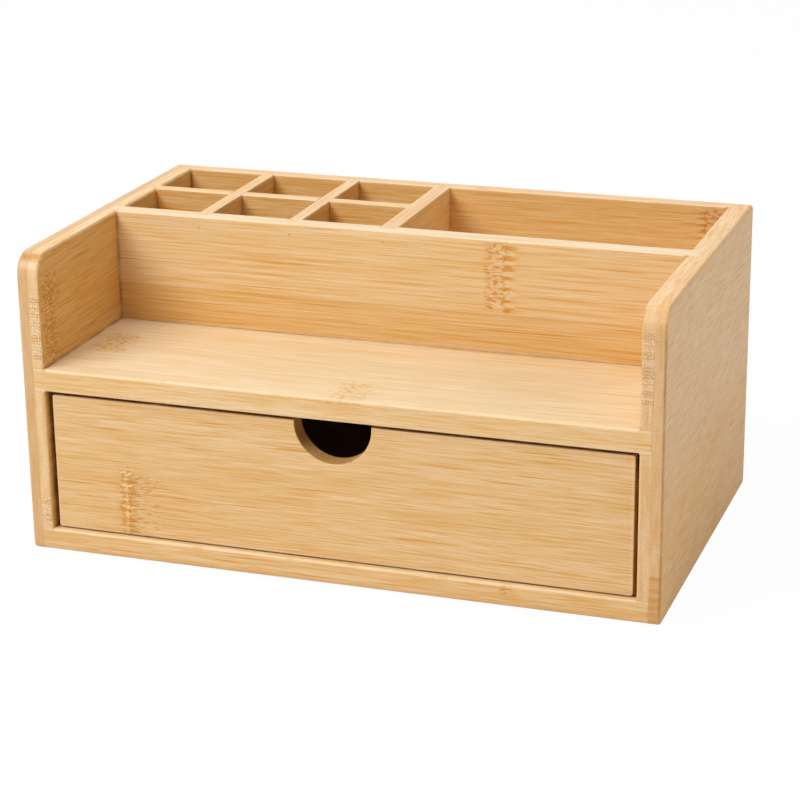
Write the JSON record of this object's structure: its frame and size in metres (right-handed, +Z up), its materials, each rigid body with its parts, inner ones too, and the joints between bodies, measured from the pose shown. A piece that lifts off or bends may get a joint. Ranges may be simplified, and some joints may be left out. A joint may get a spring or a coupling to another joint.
{
  "type": "desk organizer with drawer",
  "caption": "Bamboo desk organizer: open front tray over a full-width drawer with a finger notch, and an open rack of small cells beside a wide compartment behind it.",
  "frame": {"origin": "centre of the footprint, on the surface that the organizer stands on", "axes": "+Z up, -Y towards the front, where the drawer pulls out, +X to the right of someone facing the front"},
  "size_m": [0.33, 0.2, 0.1585],
  "materials": {
    "bamboo_case": "light bamboo, satin clear coat",
    "bamboo_drawer_front": "light bamboo, satin clear coat",
    "bamboo_drawer_box": "pale bamboo, plain sanded",
    "foot_pad": "translucent grey, matt"
  },
  "bodies": {
    "case": {"side_panel_left": "bamboo_case", "side_panel_right": "bamboo_case", "shelf": "bamboo_case", "base": "bamboo_case", "back_panel": "bamboo_case", "tray_wall": "bamboo_case", "partition": "bamboo_case", "long_divider": "bamboo_case", "cross_divider_1": "bamboo_case", "cross_divider_2": "bamboo_case", "foot_pad_front_left": "foot_pad", "foot_pad_front_right": "foot_pad", "foot_pad_back_left": "foot_pad", "foot_pad_back_right": "foot_pad"},
    "drawer": {"drawer_front": "bamboo_drawer_front", "drawer_side_left": "bamboo_drawer_box", "drawer_side_right": "bamboo_drawer_box", "drawer_back": "bamboo_drawer_box", "drawer_bottom": "bamboo_drawer_box"}
  },
  "joints": [
    {"name": "drawer_slide", "type": "slide", "parent": "case", "child": "drawer", "axis": [0, -1, 0], "range_m": [0, 0.15]}
  ]
}
